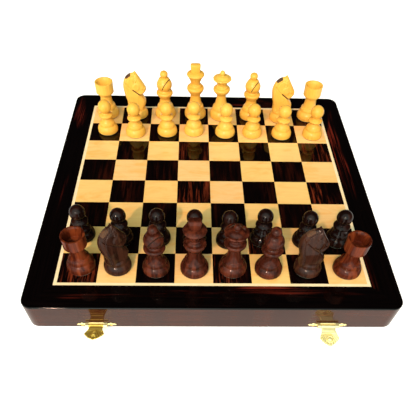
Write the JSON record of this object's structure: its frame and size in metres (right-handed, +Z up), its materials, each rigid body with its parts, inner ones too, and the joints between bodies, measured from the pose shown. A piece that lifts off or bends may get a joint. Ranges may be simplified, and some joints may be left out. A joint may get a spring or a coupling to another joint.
{
  "type": "chess set with folding board",
  "caption": "Wooden chess board that folds at a hinged seam into a felt-lined case with brass shell latches, set up with boxwood and rosewood men.",
  "frame": {"origin": "middle of the seam, in the plane of the rims that the open board rests on", "axes": "+Z up out of the playing surface, +X to the right of the player of the dark men, +Y away from that player"},
  "size_m": [0.3048, 0.3278, 0.0834],
  "materials": {
    "border_veneer": "gloss",
    "wall_rosewood": "gloss",
    "dark_veneer": "gloss",
    "maple_veneer": "gloss",
    "plywood": "matte",
    "steel": "satin",
    "lining_felt": "matte",
    "brass": "polished",
    "boxwood": "satin",
    "dark_rosewood": "gloss"
  },
  "bodies": {
    "front_half": {"front_end_wall": "wall_rosewood", "front_seam_wall": "wall_rosewood", "front_left_wall": "wall_rosewood", "front_right_wall": "wall_rosewood", "front_panel": "plywood", "front_steel_sheet": "steel", "front_lining": "lining_felt", "front_dark_squares": "dark_veneer", "front_maple_inlay": "maple_veneer", "front_border": "border_veneer", "front_hinge_leaves": "brass", "latch_plates": "brass", "front_screws_and_pins": "brass"},
    "back_half": {"back_end_wall": "wall_rosewood", "back_seam_wall": "wall_rosewood", "back_left_wall": "wall_rosewood", "back_right_wall": "wall_rosewood", "back_panel": "plywood", "back_steel_sheet": "steel", "back_lining": "lining_felt", "back_dark_squares": "dark_veneer", "back_maple_inlay": "maple_veneer", "back_border": "border_veneer", "back_hinge_leaves": "brass", "catch_plates": "brass", "back_screws": "brass"},
    "left_hasp_body": {"left_hasp": "brass"},
    "right_hasp_body": {"right_hasp": "brass"},
    "dark_rook_left_body": {"dark_rook_left": "dark_rosewood"},
    "dark_knight_left_body": {"dark_knight_left": "dark_rosewood"},
    "dark_bishop_left_body": {"dark_bishop_left": "dark_rosewood"},
    "dark_king_body": {"dark_king": "dark_rosewood"},
    "dark_queen_body": {"dark_queen": "dark_rosewood"},
    "dark_bishop_right_body": {"dark_bishop_right": "dark_rosewood"},
    "dark_knight_right_body": {"dark_knight_right": "dark_rosewood"},
    "dark_rook_right_body": {"dark_rook_right": "dark_rosewood"},
    "dark_pawn_1_body": {"dark_pawn_1": "dark_rosewood"},
    "dark_pawn_2_body": {"dark_pawn_2": "dark_rosewood"},
    "dark_pawn_3_body": {"dark_pawn_3": "dark_rosewood"},
    "dark_pawn_4_body": {"dark_pawn_4": "dark_rosewood"},
    "dark_pawn_5_body": {"dark_pawn_5": "dark_rosewood"},
    "dark_pawn_6_body": {"dark_pawn_6": "dark_rosewood"},
    "dark_pawn_7_body": {"dark_pawn_7": "dark_rosewood"},
    "dark_pawn_8_body": {"dark_pawn_8": "dark_rosewood"},
    "light_rook_left_body": {"light_rook_left": "boxwood"},
    "light_knight_left_body": {"light_knight_left": "boxwood"},
    "light_bishop_left_body": {"light_bishop_left": "boxwood"},
    "light_king_body": {"light_king": "boxwood"},
    "light_queen_body": {"light_queen": "boxwood"},
    "light_bishop_right_body": {"light_bishop_right": "boxwood"},
    "light_knight_right_body": {"light_knight_right": "boxwood"},
    "light_rook_right_body": {"light_rook_right": "boxwood"},
    "light_pawn_1_body": {"light_pawn_1": "boxwood"},
    "light_pawn_2_body": {"light_pawn_2": "boxwood"},
    "light_pawn_3_body": {"light_pawn_3": "boxwood"},
    "light_pawn_4_body": {"light_pawn_4": "boxwood"},
    "light_pawn_5_body": {"light_pawn_5": "boxwood"},
    "light_pawn_6_body": {"light_pawn_6": "boxwood"},
    "light_pawn_7_body": {"light_pawn_7": "boxwood"},
    "light_pawn_8_body": {"light_pawn_8": "boxwood"}
  },
  "joints": [
    {"name": "fold", "type": "hinge", "parent": "front_half", "child": "back_half", "pos_m": [0, 0, 0], "axis": [-1, 0, 0], "range_deg": [0, 179.9]},
    {"name": "left_hasp_swing", "type": "hinge", "parent": "front_half", "child": "left_hasp_body", "pos_m": [-0.09525, -0.1548, 0.0046], "axis": [1, 0, 0], "range_deg": [-60, 110]},
    {"name": "right_hasp_swing", "type": "hinge", "parent": "front_half", "child": "right_hasp_body", "pos_m": [0.09525, -0.1548, 0.0046], "axis": [1, 0, 0], "range_deg": [-92, 78]},
    {"name": "lift_dark_rook_left", "type": "slide", "parent": "front_half", "child": "dark_rook_left_body", "axis": [0, 0, 1], "range_m": [0, 0.08]},
    {"name": "lift_dark_knight_left", "type": "slide", "parent": "front_half", "child": "dark_knight_left_body", "axis": [0, 0, 1], "range_m": [0, 0.08]},
    {"name": "lift_dark_bishop_left", "type": "slide", "parent": "front_half", "child": "dark_bishop_left_body", "axis": [0, 0, 1], "range_m": [0, 0.08]},
    {"name": "lift_dark_king", "type": "slide", "parent": "front_half", "child": "dark_king_body", "axis": [0, 0, 1], "range_m": [0, 0.08]},
    {"name": "lift_dark_queen", "type": "slide", "parent": "front_half", "child": "dark_queen_body", "axis": [0, 0, 1], "range_m": [0, 0.08]},
    {"name": "lift_dark_bishop_right", "type": "slide", "parent": "front_half", "child": "dark_bishop_right_body", "axis": [0, 0, 1], "range_m": [0, 0.08]},
    {"name": "lift_dark_knight_right", "type": "slide", "parent": "front_half", "child": "dark_knight_right_body", "axis": [0, 0, 1], "range_m": [0, 0.08]},
    {"name": "lift_dark_rook_right", "type": "slide", "parent": "front_half", "child": "dark_rook_right_body", "axis": [0, 0, 1], "range_m": [0, 0.08]},
    {"name": "lift_dark_pawn_1", "type": "slide", "parent": "front_half", "child": "dark_pawn_1_body", "axis": [0, 0, 1], "range_m": [0, 0.08]},
    {"name": "lift_dark_pawn_2", "type": "slide", "parent": "front_half", "child": "dark_pawn_2_body", "axis": [0, 0, 1], "range_m": [0, 0.08]},
    {"name": "lift_dark_pawn_3", "type": "slide", "parent": "front_half", "child": "dark_pawn_3_body", "axis": [0, 0, 1], "range_m": [0, 0.08]},
    {"name": "lift_dark_pawn_4", "type": "slide", "parent": "front_half", "child": "dark_pawn_4_body", "axis": [0, 0, 1], "range_m": [0, 0.08]},
    {"name": "lift_dark_pawn_5", "type": "slide", "parent": "front_half", "child": "dark_pawn_5_body", "axis": [0, 0, 1], "range_m": [0, 0.08]},
    {"name": "lift_dark_pawn_6", "type": "slide", "parent": "front_half", "child": "dark_pawn_6_body", "axis": [0, 0, 1], "range_m": [0, 0.08]},
    {"name": "lift_dark_pawn_7", "type": "slide", "parent": "front_half", "child": "dark_pawn_7_body", "axis": [0, 0, 1], "range_m": [0, 0.08]},
    {"name": "lift_dark_pawn_8", "type": "slide", "parent": "front_half", "child": "dark_pawn_8_body", "axis": [0, 0, 1], "range_m": [0, 0.08]},
    {"name": "lift_light_rook_left", "type": "slide", "parent": "back_half", "child": "light_rook_left_body", "axis": [0, 0, 1], "range_m": [0, 0.08]},
    {"name": "lift_light_knight_left", "type": "slide", "parent": "back_half", "child": "light_knight_left_body", "axis": [0, 0, 1], "range_m": [0, 0.08]},
    {"name": "lift_light_bishop_left", "type": "slide", "parent": "back_half", "child": "light_bishop_left_body", "axis": [0, 0, 1], "range_m": [0, 0.08]},
    {"name": "lift_light_king", "type": "slide", "parent": "back_half", "child": "light_king_body", "axis": [0, 0, 1], "range_m": [0, 0.08]},
    {"name": "lift_light_queen", "type": "slide", "parent": "back_half", "child": "light_queen_body", "axis": [0, 0, 1], "range_m": [0, 0.08]},
    {"name": "lift_light_bishop_right", "type": "slide", "parent": "back_half", "child": "light_bishop_right_body", "axis": [0, 0, 1], "range_m": [0, 0.08]},
    {"name": "lift_light_knight_right", "type": "slide", "parent": "back_half", "child": "light_knight_right_body", "axis": [0, 0, 1], "range_m": [0, 0.08]},
    {"name": "lift_light_rook_right", "type": "slide", "parent": "back_half", "child": "light_rook_right_body", "axis": [0, 0, 1], "range_m": [0, 0.08]},
    {"name": "lift_light_pawn_1", "type": "slide", "parent": "back_half", "child": "light_pawn_1_body", "axis": [0, 0, 1], "range_m": [0, 0.08]},
    {"name": "lift_light_pawn_2", "type": "slide", "parent": "back_half", "child": "light_pawn_2_body", "axis": [0, 0, 1], "range_m": [0, 0.08]},
    {"name": "lift_light_pawn_3", "type": "slide", "parent": "back_half", "child": "light_pawn_3_body", "axis": [0, 0, 1], "range_m": [0, 0.08]},
    {"name": "lift_light_pawn_4", "type": "slide", "parent": "back_half", "child": "light_pawn_4_body", "axis": [0, 0, 1], "range_m": [0, 0.08]},
    {"name": "lift_light_pawn_5", "type": "slide", "parent": "back_half", "child": "light_pawn_5_body", "axis": [0, 0, 1], "range_m": [0, 0.08]},
    {"name": "lift_light_pawn_6", "type": "slide", "parent": "back_half", "child": "light_pawn_6_body", "axis": [0, 0, 1], "range_m": [0, 0.08]},
    {"name": "lift_light_pawn_7", "type": "slide", "parent": "back_half", "child": "light_pawn_7_body", "axis": [0, 0, 1], "range_m": [0, 0.08]},
    {"name": "lift_light_pawn_8", "type": "slide", "parent": "back_half", "child": "light_pawn_8_body", "axis": [0, 0, 1], "range_m": [0, 0.08]}
  ]
}
